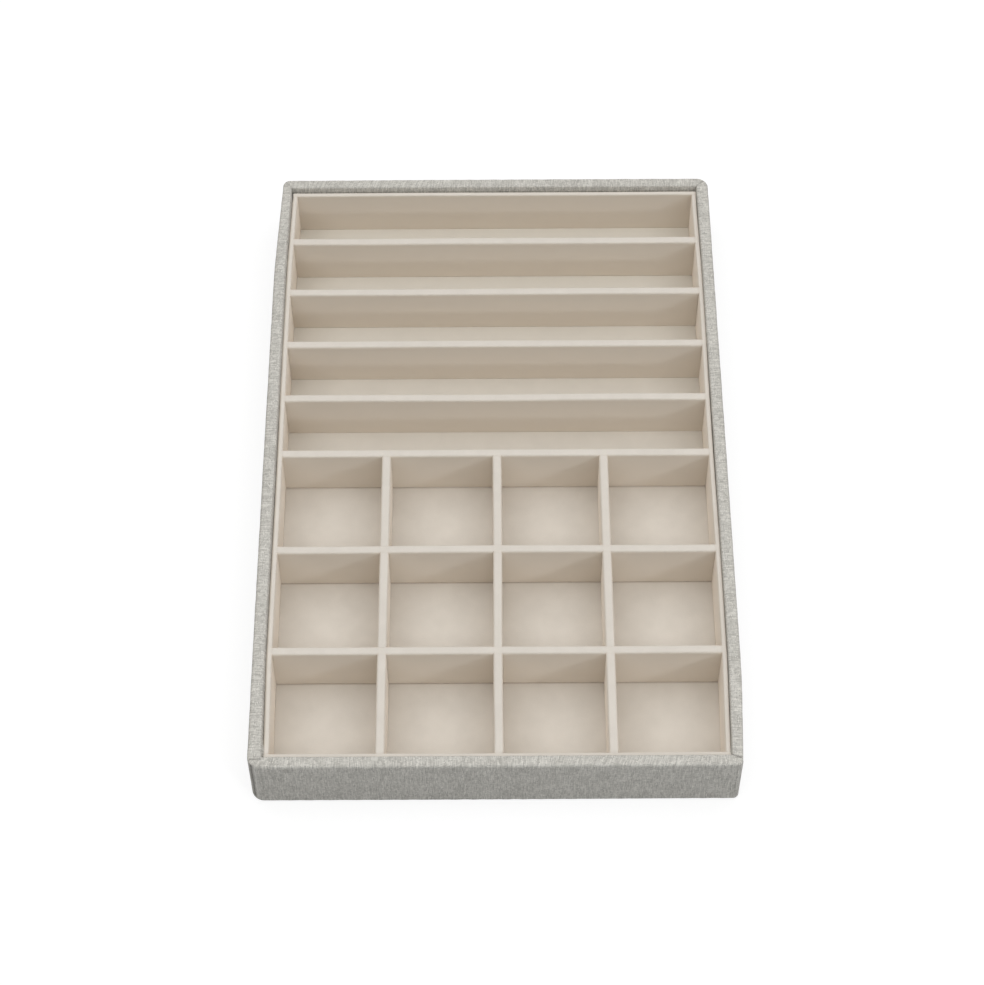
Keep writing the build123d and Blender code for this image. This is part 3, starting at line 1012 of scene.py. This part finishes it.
def makeStudio():
    s = studio
    half, level = s["floorReach"], -s["floorDrop"] * mm
    corners = [(-half, -half, level), (half, -half, level), (half, half, level), (-half, half, level)]
    mesh = bpy.data.meshes.new("floor")
    mesh.from_pydata(corners, [], [(0, 1, 2, 3)])
    floor = bpy.data.objects.new("floor", mesh)
    bpy.context.collection.objects.link(floor)
    material = bpy.data.materials.new("floorWhite")
    material.use_nodes = True
    tree = material.node_tree
    tree.nodes.clear()
    plain, lit = tree.nodes.new("ShaderNodeBsdfDiffuse"), tree.nodes.new("ShaderNodeBsdfDiffuse")
    glow = tree.nodes.new("ShaderNodeEmission")
    plain.inputs["Color"].default_value = [s["floorColour"]] * 3 + [1]
    lit.inputs["Color"].default_value = [s["floorLit"]] * 3 + [1]
    glow.inputs["Strength"].default_value = s["floorGlow"]
    both, pick = tree.nodes.new("ShaderNodeAddShader"), tree.nodes.new("ShaderNodeMixShader")
    out = tree.nodes.new("ShaderNodeOutputMaterial")
    feed(tree, both.inputs[0], lit.outputs[0])
    feed(tree, both.inputs[1], glow.outputs[0])
    feed(tree, pick.inputs[0], seenDirectly(tree))
    feed(tree, pick.inputs[1], plain.outputs[0])
    feed(tree, pick.inputs[2], both.outputs[0])
    below, clear = tree.nodes.new("ShaderNodeMixShader"), tree.nodes.new("ShaderNodeBsdfTransparent")
    feed(tree, below.inputs[0], tree.nodes.new("ShaderNodeNewGeometry").outputs["Backfacing"])
    feed(tree, below.inputs[1], pick.outputs[0])
    feed(tree, below.inputs[2], clear.outputs[0])
    feed(tree, out.inputs["Surface"], below.outputs[0])
    mesh.materials.append(material)

    world = bpy.data.worlds.new("studio")
    bpy.context.scene.world = world
    world.use_nodes = True
    tree = world.node_tree
    sky = tree.nodes["Background"]
    sky.inputs["Color"].default_value = (1, 1, 1, 1)
    feed(tree, sky.inputs["Strength"], rescale(tree, seenDirectly(tree), 0.0, 1.0, s["ambient"], 1.0))

    addLamp("overhead", s["overheadPlace"], s["overheadSize"], s["overheadPower"])
    towards = np.array(s["frontTowards"]) / np.linalg.norm(s["frontTowards"])
    place = tuple(towards * s["frontDistance"])
    addLamp("frontRight", place, s["frontSize"], s["frontPower"], s["frontTint"])


# the camera stands where the edges in the photograph meet the tray's sizes
view = {
    "photo": (984, 985),  # pixels
    "focal": 2549.0,  # pixels
    "sensor": 36.0,  # mm
    "pitch": 55.302,  # degrees down
    "yaw": 0.026,
    "roll": -0.282,
    "place": (-2.15, -804.11, 1155.50),  # mm
}


# the camera's axes: forward from yaw and pitch, then right and up turned about it by the roll
def makeCamera():
    s = view
    yaw, pitch, roll = (math.radians(s[name]) for name in ("yaw", "pitch", "roll"))
    ahead = np.array([math.sin(yaw) * math.cos(pitch), math.cos(yaw) * math.cos(pitch), -math.sin(pitch)])
    right = np.array([math.cos(yaw), -math.sin(yaw), 0.0])
    up = np.cross(right, ahead)
    turnedRight = math.cos(roll) * right + math.sin(roll) * up
    turnedUp = -math.sin(roll) * right + math.cos(roll) * up
    data = bpy.data.cameras.new("camera")
    data.sensor_width = s["sensor"]
    data.lens = data.sensor_width * s["focal"] / max(s["photo"])
    camera = bpy.data.objects.new("camera", data)
    bpy.context.collection.objects.link(camera)
    axes = np.eye(4)
    axes[:3, 0], axes[:3, 1], axes[:3, 2] = turnedRight, turnedUp, -ahead
    axes[:3, 3] = np.array(s["place"]) * mm
    camera.matrix_world = Matrix(axes.tolist())
    bpy.context.scene.camera = camera


makeStudio()
makeCamera()
bpy.context.scene.view_settings.view_transform = "Standard"
print("studio and camera made")
